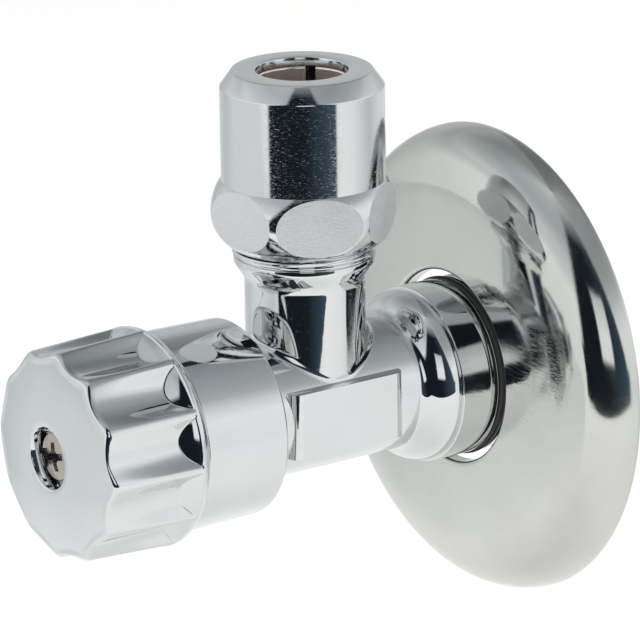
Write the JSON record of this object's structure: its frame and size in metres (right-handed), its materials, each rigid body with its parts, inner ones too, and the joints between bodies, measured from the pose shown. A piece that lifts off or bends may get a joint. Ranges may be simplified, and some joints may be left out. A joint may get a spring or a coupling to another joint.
{
  "type": "isolating valve",
  "caption": "Chrome angle valve: threaded wall inlet with sliding rosette, fluted handle on the barrel, compression nut on the upright outlet.",
  "frame": {"origin": "on the inlet's axis in the wall plane, where the rosette's back rim meets the wall", "axes": "+Y runs along the inlet into the wall, -Y points to the handle, +Z runs along the outlet"},
  "size_m": [0.056, 0.0701, 0.0673],
  "materials": {
    "chrome_body": "polished",
    "chrome_cover": "polished, faint turning marks",
    "chrome_handle": "polished",
    "chrome_sleeve": "polished",
    "chrome_nut": "polished, fine turning marks",
    "screw_steel": "nickel-plated",
    "nickel_ring": "nickel over brass",
    "bare_brass": "turned",
    "spring_steel": "plain",
    "slide_plastic": "plain",
    "black_rubber": "plain"
  },
  "bodies": {
    "body": {"valve_body": "chrome_body", "headpart_housing": "bare_brass", "housing_seal": "black_rubber", "sleeve": "chrome_sleeve", "inlet_seal": "black_rubber"},
    "spindle": {"spindle": "bare_brass", "spindle_seal_front": "black_rubber", "spindle_seal_rear": "black_rubber", "spindle_clip": "spring_steel", "thrust_washer": "slide_plastic", "handle": "chrome_handle", "handle_screw": "screw_steel"},
    "disc": {"disc_carrier": "bare_brass", "carrier_seal": "black_rubber", "seat_washer": "black_rubber", "washer_screw": "spring_steel"},
    "rosette": {"rosette": "chrome_cover"},
    "fitting": {"clamp_ring": "nickel_ring", "thrust_ring": "bare_brass", "tube_seal": "black_rubber"},
    "nut": {"compression_nut": "chrome_nut"}
  },
  "joints": [
    {"name": "handle_turn", "type": "hinge", "parent": "body", "child": "spindle", "pos_m": [0, 0, 0], "axis": [0, -1, 0], "range_deg": [0, 720]},
    {"name": "disc_lift", "type": "slide", "parent": "body", "child": "disc", "axis": [0, -1, 0], "range_m": [0, 0.004]},
    {"name": "rosette_slide", "type": "slide", "parent": "body", "child": "rosette", "axis": [0, -1, 0], "range_m": [0, 0.0088]},
    {"name": "fitting_lift", "type": "slide", "parent": "body", "child": "fitting", "axis": [0, 0, 1], "range_m": [0, 0.00535]},
    {"name": "nut_turn", "type": "hinge", "parent": "fitting", "child": "nut", "pos_m": [0, -0.0269, 0], "axis": [0, 0, 1], "range_deg": [0, 1440]}
  ],
  "couplings": [
    {"joint": "disc_lift", "follows": "handle_turn", "m_per_rad": 0.00031831},
    {"joint": "fitting_lift", "follows": "nut_turn", "m_per_rad": 0.00021279}
  ]
}
